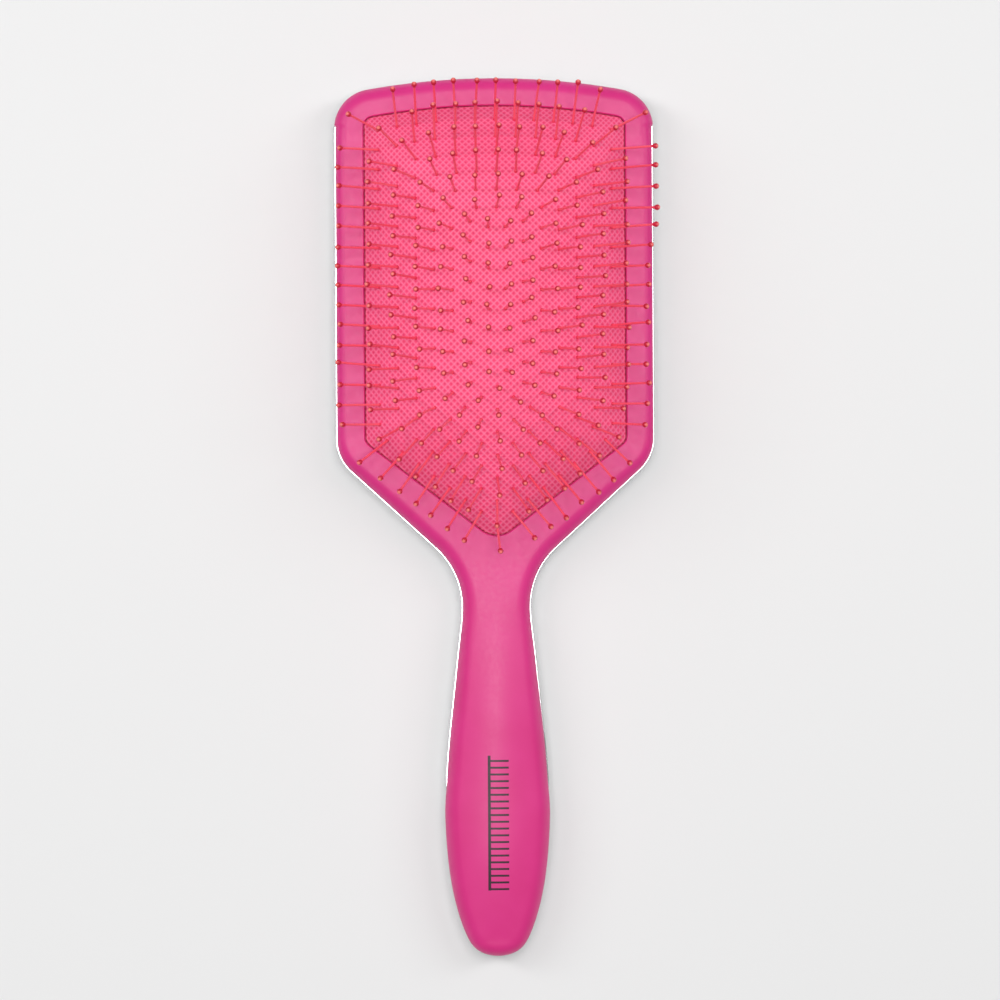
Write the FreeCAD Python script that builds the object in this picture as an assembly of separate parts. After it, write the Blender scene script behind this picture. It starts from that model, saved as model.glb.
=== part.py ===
import FreeCAD, Part
import math
import os

os.makedirs("parts", exist_ok=True)

# Paddle brush, lying on its back. Millimetres.
# +X runs across the brush, +Y from the handle's tip to the top of the head, +Z the way the pins point.
# The origin is on the surface the brush rests on, under the middle of its length and width.

# Outer outline, seen from above
LENGTH = 248.0
HEAD_HALF_WIDTH = 45.1
HEAD_TOP_RADIUS = 205.0         # the shallow arc of the head's top edge
HEAD_CORNER_RADIUS = 11.2
SHOULDER_ANGLE = math.radians(44.0)  # slope of the shoulders, from across the brush
SHOULDER_CORNER_RADIUS = 12.5
NECK_HALF_WIDTH = 9.5
NECK_Y = -25.6
NECK_RADIUS = 24.0              # the hollow curve from shoulder to neck
HANDLE_STATIONS = (             # y, half width
    (-34.0, 9.95),
    (-43.5, 11.2),
    (-57.5, 12.95),
    (-71.5, 14.2),
    (-84.6, 14.75),
    (-96.5, 14.2),
    (-107.9, 12.0),
    (-116.4, 9.3),
    (-121.9, 5.9),
)

# Pad opening in the head
OPENING_HALF_WIDTH = 36.9
OPENING_TOP_Y = 116.0
OPENING_CORNER_RADIUS = 3.0
MIN_CORNER_RADIUS = 0.6         # of the opening's outline when it is moved inwards
VEE_ANGLE = math.radians(37.4)  # slope of the opening's lower edges
VEE_POINT_Y = -7.0              # where those edges would meet
VEE_POINT_RADIUS = 7.0

# Heights
PARTING_Z = 7.5                 # joint between the two shells
RIM_Z = 13.0                    # top of the head's rim
HANDLE_CROWN = 3.4              # extra height along the middle of the handle
CROWN_START_Y = -8.0
CROWN_FULL_Y = -60.0
CROWN_FALL_Y = -88.0            # where the crown starts to fall towards the tip

# Shells
BACK_WALL = 1.8
BACK_EDGE_RADIUS = 6.0
FRONT_INSET = 0.5               # the front shell is this much smaller all round
FRONT_WALL = 2.45
FRONT_SKIN = 2.2
FRONT_EDGE_RADIUS = 4.0
CROWN_HOLLOW_INSET = 5.7        # the hollow inside the handle's crown, in from the outline
CROWN_MIN_HALF_WIDTH = 2.0
RIM_EDGE_RADIUS = 0.3
LIP_DEPTH = 1.5
LIP_CLEARANCE = 0.1

# Cushion pad
PAD_RADIUS = 54.0               # the dome's radius across the head
PAD_EDGE_Z = 12.2               # height of the dome where it meets the opening
PAD_THICKNESS = 1.3
PAD_GAP = 0.35                  # pad to the opening's edge
DOME_POWER = 4.0                # how squarely the dome fills the corners
FLANGE_TOP_Z = RIM_Z - FRONT_SKIN - 0.05
FLANGE_THICKNESS = 1.25
FLANGE_WIDTH = 3.6              # how far the flange runs under the rim

# Clamp frame under the pad's flange
FRAME_THICKNESS = 1.6
FRAME_OUTER = 3.4               # past the opening's edge
FRAME_INNER = 1.4               # inside the opening's edge
FRAME_TOP_Z = FLANGE_TOP_Z - FLANGE_THICKNESS
FRAME_BOTTOM_Z = FRAME_TOP_Z - FRAME_THICKNESS
FRAME_PEG_INSET = -1.6          # the pegs' line, past the opening's edge
FRAME_PEG_RADIUS = 1.0
FRAME_PEG_CLEARANCE = 0.15
POST_RADIUS = 1.6
FRAME_FIXINGS = 24              # pegs and posts together, by turns round the frame
FRAME_MIDDLE_Y = 60.0

# Locating pegs along the handle
PEG_RADIUS = 1.5
PEG_CLEARANCE = 0.05
SOCKET_RADIUS = 3.0
SOCKET_RECESS = 0.5             # the back shell's sockets stop this far under the parting plane
PEG_YS = (-20.0, -62.0, -104.0)

# Pins
RING_COUNTS = (58, 50, 44, 38, 30, 24, 17)  # from the edge of the pad inwards
RING_INSET = 4.2                # first ring, in from the opening's edge
RING_PITCH = 5.05
PIN_LENGTH = 17.0               # pad surface to tip
SHAFT_RADIUS = 0.35
SHAFT_TOP_RADIUS = 0.32
COLLAR_RADIUS = 0.55
COLLAR_LENGTH = 0.9
BALL_RADIUS = 0.8
BALL_CONE_ANGLE = math.radians(22.0)
PIN_HEAD_RADIUS = 0.9
PIN_HEAD_THICKNESS = 0.6
PIN_GAP = 0.1                   # clearance between a pin's shaft and the pad
PIN_HEAD_GAP = 0.35             # clearance between a pin's head and the pad's inner face

GRID_STEP = 4.0                 # spacing of the points that the curved faces pass through
INSET_CURVE_STEPS = 40          # steps along the handle's outline when it is moved inwards
HALVINGS = 40                   # rounds of halving when a place is searched for
HEAD_TOP_CENTRE_Y = LENGTH / 2 - HEAD_TOP_RADIUS
TIP_Y = -LENGTH / 2


def vec(x, y, z=0.0):
    return FreeCAD.Vector(x, y, z)


def line(a, b):
    return Part.LineSegment(a, b).toShape()


def arc(centre, radius, start, end):
    """The arc round centre from one angle to the other, in radians."""
    angles = (start, (start + end) / 2, end)
    points = [centre + vec(radius * math.cos(t), radius * math.sin(t)) for t in angles]
    return Part.Arc(*points).toShape()


def start_of(edge):
    return edge.valueAt(edge.FirstParameter)


def end_of(edge):
    return edge.valueAt(edge.LastParameter)


def mirrored(edges):
    """The edges mirrored in the plane x = 0."""
    return [edge.mirror(vec(0, 0), vec(1, 0)) for edge in edges]


def handle_curve(inset):
    """The handle's outline, from the right of the neck round the tip to the left of the neck."""
    right = [vec(NECK_HALF_WIDTH, NECK_Y)] + [vec(w, y) for y, w in HANDLE_STATIONS]
    left = [vec(-p.x, p.y) for p in reversed(right)]
    base = Part.BSplineCurve()
    base.interpolate(
        Points=right + [vec(0, TIP_Y)] + left, InitialTangent=vec(0, -1), FinalTangent=vec(0, 1)
    )
    if inset == 0:
        return base.toShape()
    points = []
    for i in range(INSET_CURVE_STEPS + 1):
        t = base.FirstParameter + (base.LastParameter - base.FirstParameter) * i / INSET_CURVE_STEPS
        along = base.tangent(t)[0]
        points.append(base.value(t) + vec(along.y, -along.x) * inset)
    curve = Part.BSplineCurve()
    curve.interpolate(Points=points, InitialTangent=vec(0, -1), FinalTangent=vec(0, 1))
    return curve.toShape()


HANDLE = handle_curve(0)


def outline_face(inset, z):
    """The brush's whole outline, moved inwards by inset, as a flat face at height z."""
    half = HEAD_HALF_WIDTH - inset
    neck_radius = NECK_RADIUS + inset
    neck_centre = vec(NECK_HALF_WIDTH + NECK_RADIUS, NECK_Y)
    neck = arc(neck_centre, neck_radius, math.pi, math.pi / 2 + SHOULDER_ANGLE)

    slope = vec(math.cos(SHOULDER_ANGLE), math.sin(SHOULDER_ANGLE))
    shoulder_start = end_of(neck)
    corner = shoulder_start + slope * ((half - shoulder_start.x) / slope.x)
    low_radius = SHOULDER_CORNER_RADIUS - inset
    low_reach = low_radius * math.tan((math.pi / 2 - SHOULDER_ANGLE) / 2)
    low_centre = vec(half - low_radius, corner.y + low_reach)
    low_corner = arc(low_centre, low_radius, SHOULDER_ANGLE - math.pi / 2, 0)

    top_radius = HEAD_TOP_RADIUS - inset
    high_radius = HEAD_CORNER_RADIUS - inset
    high_x = half - high_radius
    high_y = HEAD_TOP_CENTRE_Y + math.sqrt((top_radius - high_radius) ** 2 - high_x**2)
    turn = math.atan2(high_y - HEAD_TOP_CENTRE_Y, high_x)
    high_corner = arc(vec(high_x, high_y), high_radius, 0, turn)
    top = arc(vec(0, HEAD_TOP_CENTRE_Y), top_radius, turn, math.pi - turn)

    side = [
        neck,
        line(shoulder_start, start_of(low_corner)),
        low_corner,
        line(end_of(low_corner), start_of(high_corner)),
        high_corner,
    ]
    edges = [handle_curve(inset), top] + side + mirrored(side)
    face = Part.Face(Part.Wire(Part.__sortEdges__(edges)))
    face.translate(vec(0, 0, z))
    return face


def opening_face(inset, z):
    """The pad opening's outline, moved inwards by inset (outwards if negative), at height z."""
    half = OPENING_HALF_WIDTH - inset
    small = max(OPENING_CORNER_RADIUS - inset, MIN_CORNER_RADIUS)
    point_radius = max(VEE_POINT_RADIUS - inset, MIN_CORNER_RADIUS)
    point_y = VEE_POINT_Y + inset / math.cos(VEE_ANGLE)
    point_centre = vec(0, point_y + point_radius / math.cos(VEE_ANGLE))
    point = arc(point_centre, point_radius, -math.pi / 2 - VEE_ANGLE, -math.pi / 2 + VEE_ANGLE)

    low_y = point_y + half * math.tan(VEE_ANGLE)
    low_reach = small * math.tan((math.pi / 2 - VEE_ANGLE) / 2)
    low_corner = arc(vec(half - small, low_y + low_reach), small, VEE_ANGLE - math.pi / 2, 0)

    top_radius = OPENING_TOP_Y - HEAD_TOP_CENTRE_Y - inset
    high_x = half - small
    high_y = HEAD_TOP_CENTRE_Y + math.sqrt((top_radius - small) ** 2 - high_x**2)
    turn = math.atan2(high_y - HEAD_TOP_CENTRE_Y, high_x)
    high_corner = arc(vec(high_x, high_y), small, 0, turn)
    top = arc(vec(0, HEAD_TOP_CENTRE_Y), top_radius, turn, math.pi - turn)

    side = [
        line(end_of(point), start_of(low_corner)),
        low_corner,
        line(end_of(low_corner), start_of(high_corner)),
        high_corner,
    ]
    edges = [point, top] + side + mirrored(side)
    face = Part.Face(Part.Wire(Part.__sortEdges__(edges)))
    face.translate(vec(0, 0, z))
    return face


def prism(face, height):
    return face.extrude(vec(0, 0, height))


def smooth_step(t):
    t = min(max(t, 0.0), 1.0)
    return t * t * (3 - 2 * t)


def handle_half_width(y):
    """Half the handle's width at y, from the middle of the shoulder's hollow curve to the tip."""
    if y >= NECK_Y:
        return NECK_HALF_WIDTH + NECK_RADIUS - math.sqrt(NECK_RADIUS**2 - (y - NECK_Y) ** 2)
    low = HANDLE.FirstParameter
    high = (HANDLE.FirstParameter + HANDLE.LastParameter) / 2
    for _ in range(HALVINGS):
        middle = (low + high) / 2
        if HANDLE.valueAt(middle).y > y:
            low = middle
        else:
            high = middle
    return HANDLE.valueAt(low).x


def crown_section(y):
    """The crown's height at y, on the middle line, and how far out it meets the rounded edge."""
    rise = HANDLE_CROWN * smooth_step((CROWN_START_Y - y) / (CROWN_START_Y - CROWN_FULL_Y))
    tip_y = TIP_Y + FRONT_INSET + FRONT_EDGE_RADIUS
    fall = max(CROWN_FALL_Y - y, 0.0) / (CROWN_FALL_Y - tip_y)
    half = handle_half_width(y) - FRONT_INSET - FRONT_EDGE_RADIUS
    return rise * (1 - fall**2), max(half, CROWN_MIN_HALF_WIDTH)


def bulge(t):
    """1 on the middle line (t = 0), 0 where the crown meets the rounded edge (t = 1), and below 0 past it."""
    return (math.exp(-t * t) - math.exp(-1)) / (1 - math.exp(-1))


def surface_through(points):
    surface = Part.BSplineSurface()
    surface.interpolate(points)
    return surface.toShape()


def steps(low, high):
    """Evenly spaced values from low to high, about GRID_STEP apart."""
    count = round((high - low) / GRID_STEP)
    return [low + (high - low) * i / count for i in range(count + 1)]


def crown_solid(inset, drop):
    """The handle's crown down to the parting plane, kept in from the outline and lowered by drop."""
    half_width = handle_half_width(CROWN_FALL_Y)
    xs = steps(-half_width, half_width)
    rows = []
    for y in steps(TIP_Y, CROWN_START_Y):
        rise, half = crown_section(y)
        rows.append([vec(x, y, RIM_Z + rise * bulge(x / half) - drop) for x in xs])
    below = surface_through(rows).extrude(vec(0, 0, -2 * RIM_Z))
    return prism(outline_face(inset, PARTING_Z), 2 * RIM_Z).common(below).Solids[0]


def edge_distances(x, y):
    """Distance from a point to each side of the opening: left, right, top and the two lower edges."""
    across = math.sin(VEE_ANGLE)
    up = math.cos(VEE_ANGLE)
    return (
        OPENING_HALF_WIDTH + x,
        OPENING_HALF_WIDTH - x,
        OPENING_TOP_Y - HEAD_TOP_CENTRE_Y - math.hypot(x, y - HEAD_TOP_CENTRE_Y),
        (y - VEE_POINT_Y) * up - x * across,
        (y - VEE_POINT_Y) * up + x * across,
    )


def blended(distances):
    """A smooth version of the smallest distance."""
    if min(distances) <= 0.01:
        return min(distances)
    return sum(d**-DOME_POWER for d in distances) ** (-1 / DOME_POWER)


def strip_position(depth):
    """How far off the middle a long strip as wide as the opening has this blended depth."""
    low = 0.0
    high = OPENING_HALF_WIDTH * 1.3
    for _ in range(HALVINGS):
        middle = (low + high) / 2
        if blended((OPENING_HALF_WIDTH + middle, OPENING_HALF_WIDTH - middle)) > depth:
            low = middle
        else:
            high = middle
    return (low + high) / 2


def dome_point(x, y):
    """The point of the pad's outer face above x, y. Across the middle of the pad it is a circular arc."""
    offset = strip_position(blended(edge_distances(x, y)))
    rise = math.sqrt(PAD_RADIUS**2 - offset**2) - math.sqrt(PAD_RADIUS**2 - OPENING_HALF_WIDTH**2)
    return vec(x, y, PAD_EDGE_Z + rise)


def dome_normal(x, y):
    step = 0.05
    across = dome_point(x + step, y) - dome_point(x - step, y)
    along = dome_point(x, y + step) - dome_point(x, y - step)
    return across.cross(along).normalize()


def under_dome(drop):
    """Everything below the pad's outer face, moved inwards by drop."""
    margin = 2.0
    xs = steps(-OPENING_HALF_WIDTH - margin, OPENING_HALF_WIDTH + margin)
    ys = steps(VEE_POINT_Y - margin, OPENING_TOP_Y + margin)
    points = [[dome_point(x, y) - dome_normal(x, y) * drop for y in ys] for x in xs]
    return surface_through(points).extrude(vec(0, 0, -3 * RIM_Z))


def ring_path(inset):
    """The line one ring of pins stands on: half width, lower point, lower and upper corner on the right,
    radius of the top arc and the angle at which that arc starts."""
    half = OPENING_HALF_WIDTH - inset
    point = vec(0, VEE_POINT_Y + inset / math.cos(VEE_ANGLE))
    low = vec(half, point.y + half * math.tan(VEE_ANGLE))
    top_radius = OPENING_TOP_Y - HEAD_TOP_CENTRE_Y - inset
    turn = math.acos(half / top_radius)
    high = vec(half, HEAD_TOP_CENTRE_Y + top_radius * math.sin(turn))
    return half, point, low, high, top_radius, turn


def ring_roots(inset, count):
    """The places of one ring's pins, evenly spaced round it from its lower point, as (side, x, y)."""
    half, point, low, high, top_radius, turn = ring_path(inset)
    vee_length = (low - point).Length
    side_length = high.y - low.y
    top_length = top_radius * (math.pi - 2 * turn)
    total = 2 * vee_length + 2 * side_length + top_length
    roots = []
    for i in range(count // 2 + 1):
        run = total * i / count
        if run <= vee_length:
            side = "vee"
            place = point + (low - point) * (run / vee_length)
        elif run <= vee_length + side_length:
            side = "right"
            place = vec(half, low.y + run - vee_length)
        else:
            side = "top"
            angle = turn + (run - vee_length - side_length) / top_radius
            place = vec(top_radius * math.cos(angle), HEAD_TOP_CENTRE_Y + top_radius * math.sin(angle))
        on_axis = i == 0 or 2 * i == count
        roots.append((side, 0.0 if on_axis else place.x, place.y))
        if not on_axis:
            roots.append(("left" if side == "right" else side, -place.x, place.y))
    return roots


def pin_solid():
    """One pin standing on the origin: head under the pad, tapered shaft with a collar, ball tip."""
    head_top = -PAD_THICKNESS - PIN_HEAD_GAP
    ball_z = PIN_LENGTH - BALL_RADIUS
    cone_top = vec(
        BALL_RADIUS * math.cos(BALL_CONE_ANGLE), 0, ball_z - BALL_RADIUS * math.sin(BALL_CONE_ANGLE)
    )
    cone_drop = (cone_top.x - SHAFT_TOP_RADIUS) / math.tan(BALL_CONE_ANGLE)
    corners = [
        vec(0, 0, head_top - PIN_HEAD_THICKNESS),
        vec(PIN_HEAD_RADIUS, 0, head_top - PIN_HEAD_THICKNESS),
        vec(PIN_HEAD_RADIUS, 0, head_top),
        vec(SHAFT_RADIUS, 0, head_top),
        vec(SHAFT_RADIUS, 0, PIN_GAP),
        vec(COLLAR_RADIUS, 0, PIN_GAP),
        vec(SHAFT_RADIUS, 0, PIN_GAP + COLLAR_LENGTH),
        vec(SHAFT_TOP_RADIUS, 0, cone_top.z - cone_drop),
        cone_top,
    ]
    tip = vec(0, 0, PIN_LENGTH)
    shoulder = vec(BALL_RADIUS * math.cos(math.pi / 4), 0, ball_z + BALL_RADIUS * math.sin(math.pi / 4))
    edges = [line(a, b) for a, b in zip(corners, corners[1:])]
    edges.append(Part.Arc(cone_top, shoulder, tip).toShape())
    edges.append(line(tip, corners[0]))
    return Part.Face(Part.Wire(edges)).revolve(vec(0, 0), vec(0, 0, 1), 360)


def standing_on(shape, x, y):
    """The shape's copy turned and moved to stand on the pad at x, y, square to its face."""
    copy = shape.copy()
    turn = FreeCAD.Rotation(vec(0, 0, 1), dome_normal(x, y))
    copy.Placement = FreeCAD.Placement(dome_point(x, y), turn)
    return copy


def frame_places():
    """Where the pegs (first list) and the posts (second list) meet the clamp frame, by turns round it."""
    places = [(x, y) for _, x, y in ring_roots(FRAME_PEG_INSET, FRAME_FIXINGS)]
    places.sort(key=lambda p: math.atan2(p[0], FRAME_MIDDLE_Y - p[1]))
    return places[0::2], places[1::2]


def rods(places, radius, low, high):
    return [Part.makeCylinder(radius, high - low, vec(x, y, low)) for x, y in places]


def back_shell():
    """Plated shell of the head's and the handle's back, with posts under the frame and peg sockets."""
    outer = prism(outline_face(0, 0), PARTING_Z)
    outer = outer.makeFillet(BACK_EDGE_RADIUS, level_edges(outer, 0))
    hollow = prism(outline_face(BACK_WALL, BACK_WALL), PARTING_Z)
    hollow = hollow.makeFillet(BACK_EDGE_RADIUS - BACK_WALL, level_edges(hollow, BACK_WALL))
    shell = outer.cut(hollow)
    posts = rods(frame_places()[1], POST_RADIUS, BACK_WALL / 2, FRAME_BOTTOM_Z)
    spine = [(0, y) for y in PEG_YS]
    sockets = rods(spine, SOCKET_RADIUS, BACK_WALL / 2, PARTING_Z - SOCKET_RECESS)
    bores = rods(spine, PEG_RADIUS + PEG_CLEARANCE, BACK_WALL, PARTING_Z)
    return shell.multiFuse(posts + sockets).cut(Part.makeCompound(bores)).removeSplitter()


def level_edges(solid, z):
    """The solid's edges that lie at height z."""
    return [e for e in solid.Edges if abs(e.BoundBox.ZMin - z) < 1e-6 and abs(e.BoundBox.ZMax - z) < 1e-6]


def front_shell():
    """Soft-touch shell of the handle's and the head's front, with the pad opening."""
    outer = prism(outline_face(FRONT_INSET, PARTING_Z), RIM_Z - PARTING_Z)
    outer = outer.makeFillet(FRONT_EDGE_RADIUS, level_edges(outer, RIM_Z))
    outer = outer.fuse(crown_solid(FRONT_INSET + FRONT_EDGE_RADIUS / 2, 0))
    hollow = prism(outline_face(FRONT_INSET + FRONT_WALL, 0), RIM_Z - FRONT_SKIN)
    crown_hollow = crown_solid(CROWN_HOLLOW_INSET, FRONT_SKIN)
    opening = prism(opening_face(0, 0), 3 * RIM_Z)
    shell = outer.cut(crown_hollow).cut(hollow).cut(opening)
    rim = [
        e for e in shell.Edges
        if e.BoundBox.ZMin > RIM_Z - 0.2 and e.BoundBox.YMin > VEE_POINT_Y
        and e.BoundBox.XMax < OPENING_HALF_WIDTH + 0.1 and e.BoundBox.XMin > -OPENING_HALF_WIDTH - 0.1
        and e.BoundBox.YMax < OPENING_TOP_Y + 0.1
    ]
    shell = shell.makeFillet(RIM_EDGE_RADIUS, rim)
    lip_outer = prism(outline_face(BACK_WALL + LIP_CLEARANCE, PARTING_Z - LIP_DEPTH), 2 * LIP_DEPTH)
    lip_inner = prism(outline_face(FRONT_INSET + FRONT_WALL, 0), RIM_Z)
    lip = lip_outer.cut(lip_inner)
    pegs = rods(frame_places()[0], FRAME_PEG_RADIUS, FRAME_BOTTOM_Z, RIM_Z - FRONT_SKIN / 2)
    for y in PEG_YS:
        top = RIM_Z + crown_section(y)[0] - FRONT_SKIN / 2
        pegs += rods([(0, y)], PEG_RADIUS, 2 * BACK_WALL, top)
        pegs += rods([(0, y)], SOCKET_RADIUS, PARTING_Z, top)
    return shell.multiFuse([lip] + pegs)


def clamp_frame():
    """Flat frame that presses the pad's flange up against the rim."""
    outer = prism(opening_face(-FRAME_OUTER, FRAME_BOTTOM_Z), FRAME_THICKNESS)
    inner = prism(opening_face(FRAME_INNER, 0), RIM_Z)
    holes = rods(frame_places()[0], FRAME_PEG_RADIUS + FRAME_PEG_CLEARANCE, 0, RIM_Z)
    return outer.cut(inner).cut(Part.makeCompound(holes))


def cushion_pad(roots):
    """Rubber dome with a flange under the rim, and a hole for every pin."""
    flange = prism(opening_face(-FLANGE_WIDTH, FRAME_TOP_Z), FLANGE_THICKNESS)
    dome = prism(opening_face(PAD_GAP, FRAME_TOP_Z), 3 * RIM_Z).common(under_dome(0))
    hollow = prism(opening_face(PAD_GAP + PAD_THICKNESS, 0), 3 * RIM_Z).common(under_dome(PAD_THICKNESS))
    peg_holes = rods(frame_places()[0], FRAME_PEG_RADIUS + FRAME_PEG_CLEARANCE, 0, RIM_Z)
    hole = Part.makeCylinder(SHAFT_RADIUS + PIN_GAP, 3 * PAD_THICKNESS, vec(0, 0, -2 * PAD_THICKNESS))
    pin_holes = [standing_on(hole, x, y) for x, y in roots]
    return flange.fuse(dome).cut(hollow).cut(Part.makeCompound(peg_holes + pin_holes))


def write(shape, name):
    shape.exportStep("parts/" + name + ".step")


pin = pin_solid()
all_roots = []
for number, count in enumerate(RING_COUNTS, start=1):
    ring = ring_roots(RING_INSET + RING_PITCH * (number - 1), count)
    all_roots += [(x, y) for _, x, y in ring]
    for side in ("left", "right", "top", "vee"):
        places = [(x, y) for s, x, y in ring if s == side]
        if places:
            pins = [standing_on(pin, x, y) for x, y in places]
            write(Part.makeCompound(pins), "pins_ring%d_%s" % (number, side))

write(back_shell(), "back_shell")
write(front_shell(), "front_shell")
write(clamp_frame(), "pad_clamp_frame")
write(cushion_pad(all_roots), "cushion_pad")
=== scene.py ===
import math

import bpy
import numpy as np
from mathutils import Matrix, Vector
from mathutils.geometry import delaunay_2d_cdt


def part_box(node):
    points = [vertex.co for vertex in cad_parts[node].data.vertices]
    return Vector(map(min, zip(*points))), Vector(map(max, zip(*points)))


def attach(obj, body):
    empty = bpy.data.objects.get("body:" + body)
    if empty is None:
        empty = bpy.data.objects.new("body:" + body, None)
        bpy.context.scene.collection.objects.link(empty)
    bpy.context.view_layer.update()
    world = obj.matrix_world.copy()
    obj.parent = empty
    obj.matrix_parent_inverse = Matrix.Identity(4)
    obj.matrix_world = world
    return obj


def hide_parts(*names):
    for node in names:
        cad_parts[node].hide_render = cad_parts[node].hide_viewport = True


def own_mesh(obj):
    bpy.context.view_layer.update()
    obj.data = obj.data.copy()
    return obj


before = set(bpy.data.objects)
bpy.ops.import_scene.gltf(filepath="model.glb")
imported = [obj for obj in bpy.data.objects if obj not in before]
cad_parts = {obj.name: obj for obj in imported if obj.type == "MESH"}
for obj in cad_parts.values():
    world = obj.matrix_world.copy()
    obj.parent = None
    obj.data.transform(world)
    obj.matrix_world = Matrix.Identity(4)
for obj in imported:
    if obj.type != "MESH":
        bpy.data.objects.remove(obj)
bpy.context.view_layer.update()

# A paddle brush lying on its back. Metres, in the CAD model's frame: +X across, +Y to the top of the
# head, +Z the way the pins point. The sizes are the CAD model's, but for a few that follow the photograph
# more closely: the outline from the shoulders to the tip, up to a millimetre wider here, the pink shell's
# inset, the rounding along the head's sides, and the lean of the outermost pins. The pad's texture and
# the printed comb are here only.

back_low, back_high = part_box("back_shell")
HEAD_HALF_WIDTH = back_high.x
HEAD_TOP_Y = back_high.y
TIP_Y = back_low.y
PARTING_Z = back_high.z                 # joint between the two shells

# Outline
HEAD_TOP_RADIUS = 0.205
HEAD_CORNER_RADIUS = 0.0112
HEAD_TOP_CENTRE_Y = HEAD_TOP_Y - HEAD_TOP_RADIUS
SHOULDER_ANGLE = math.radians(42.5)
SHOULDER_CORNER_RADIUS = 0.0125
NECK_HALF_WIDTH = 0.0099
NECK_Y = -0.0254
NECK_RADIUS = 0.0223
HANDLE_STATIONS = (                     # y, half width
    (-0.0350, 0.01075),
    (-0.0465, 0.01200),
    (-0.0578, 0.01325),
    (-0.0691, 0.01430),
    (-0.0790, 0.01480),
    (-0.0861, 0.01475),
    (-0.0946, 0.01425),
    (-0.1031, 0.01320),
    (-0.1116, 0.01130),
    (-0.1173, 0.00930),
    (-0.1217, 0.00660),
)

# Pad opening
OPENING_HALF_WIDTH = 0.0369
OPENING_TOP_Y = 0.116
OPENING_CORNER_RADIUS = 0.003
VEE_ANGLE = math.radians(37.4)
VEE_POINT_Y = -0.007
VEE_POINT_RADIUS = 0.007

# Shells
RIM_Z = 0.013
HANDLE_CROWN = 0.0034                   # rise of the handle's middle line over the rim
CROWN_POWER = 1.8                       # how quickly it falls away to the sides
CROWN_START_Y = -0.008
CROWN_FULL_Y = -0.060
CROWN_FALL_Y = -0.088
BACK_WALL = 0.0018
BACK_EDGE_RADIUS = 0.006
FRONT_INSET = 0.00045
FRONT_WALL = 0.00245
FRONT_SKIN = 0.0022
FRONT_EDGE_RADIUS = 0.004
HEAD_SIDE_RADIUS = 0.0026               # the rim is rounded more tightly along the head's sides,
HEAD_SIDE_FULL_Y = 0.030                # fully so from here up,
HEAD_SIDE_END_Y = 0.113                 # and no longer from here, at the top corners
HEAD_SIDE_FADE = 0.012
FRONT_LIP_HEIGHT = 0.0008               # of the slope between the front shell's skin and its wall
RIM_EDGE_RADIUS = 0.0003
PLATE_TOP_Y = 0.1110                    # the plated edge shows between these, along the sides
PLATE_TIP_Y = -0.0780
PLATE_TOP_FADE = 0.0008
PLATE_TIP_FADE = 0.012
SEAM_DEPTH = 0.0004                     # groove between the two shells
SEAM_LIP = 0.0001                       # rounding of the groove's outer edge
LEDGE_RADIUS = 0.00022                  # rounding of the plated shell's upper edge

# Cushion pad
PAD_RADIUS = 0.054
PAD_EDGE_Z = 0.0122
PAD_THICKNESS = 0.0013
PAD_GAP = 0.00035
PAD_EDGE_ROUND = 0.00025
DOME_POWER = 4.0
FLANGE_TOP_Z = 0.01075
FLANGE_BOTTOM_Z = 0.0095
FLANGE_WIDTH = 0.0036
WEAVE_PITCH = 0.00132                   # between neighbouring dimples, along the diagonals
WEAVE_STEPS = 4                         # mesh steps in one pitch
DIMPLE_DEPTH = 0.00011
RIDGE_HEIGHT = 0.00006
WEAVE_FADE = 0.0012                     # the texture fades out over this width at the pad's edge

# Pins
RING_COUNTS = (58, 50, 44, 38, 30, 24, 17)
RING_INSET = 0.0042
RING_PITCH = 0.00505
PIN_LENGTH = 0.017
SHAFT_RADIUS = 0.00035
SHAFT_TOP_RADIUS = 0.00032
COLLAR_RADIUS = 0.00055
COLLAR_LENGTH = 0.0009
BALL_RADIUS = 0.0008
BALL_CONE_ANGLE = math.radians(22.0)    # of the cone that joins the ball to the shaft
PIN_HEAD_RADIUS = 0.0009
PIN_HEAD_THICKNESS = 0.0006
PIN_GAP = 0.0001
PIN_HEAD_GAP = 0.00035
PIN_SEGMENTS = 16
PIN_SEED = 11
PIN_LEAN = math.radians(1.1)            # spread of the pins' small errors of angle
PIN_BEND = 0.00018                      # spread of how far the tips are bent sideways
EDGE_PIN_X = 0.0285                     # use has made the pins past this slope outwards,
EDGE_PIN_BLEND = 0.003
LEFT_BEND = 0.17
RIGHT_BEND = 0.24
LOWER_RIGHT_BEND = -0.06                # but those on the right below this height slope in a little
LOWER_RIGHT_Y = 0.076
LOWER_RIGHT_BLEND = 0.006


# ---------------------------------------------------------------- outlines

def arc(centre, radius, start, end, step=0.00005):
    """Points on the arc round centre from one angle to the other, in radians."""
    count = max(8, int(abs(end - start) * radius / step))
    angles = np.linspace(start, end, count + 1)
    return np.array(centre) + radius * np.stack([np.cos(angles), np.sin(angles)], 1)


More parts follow.
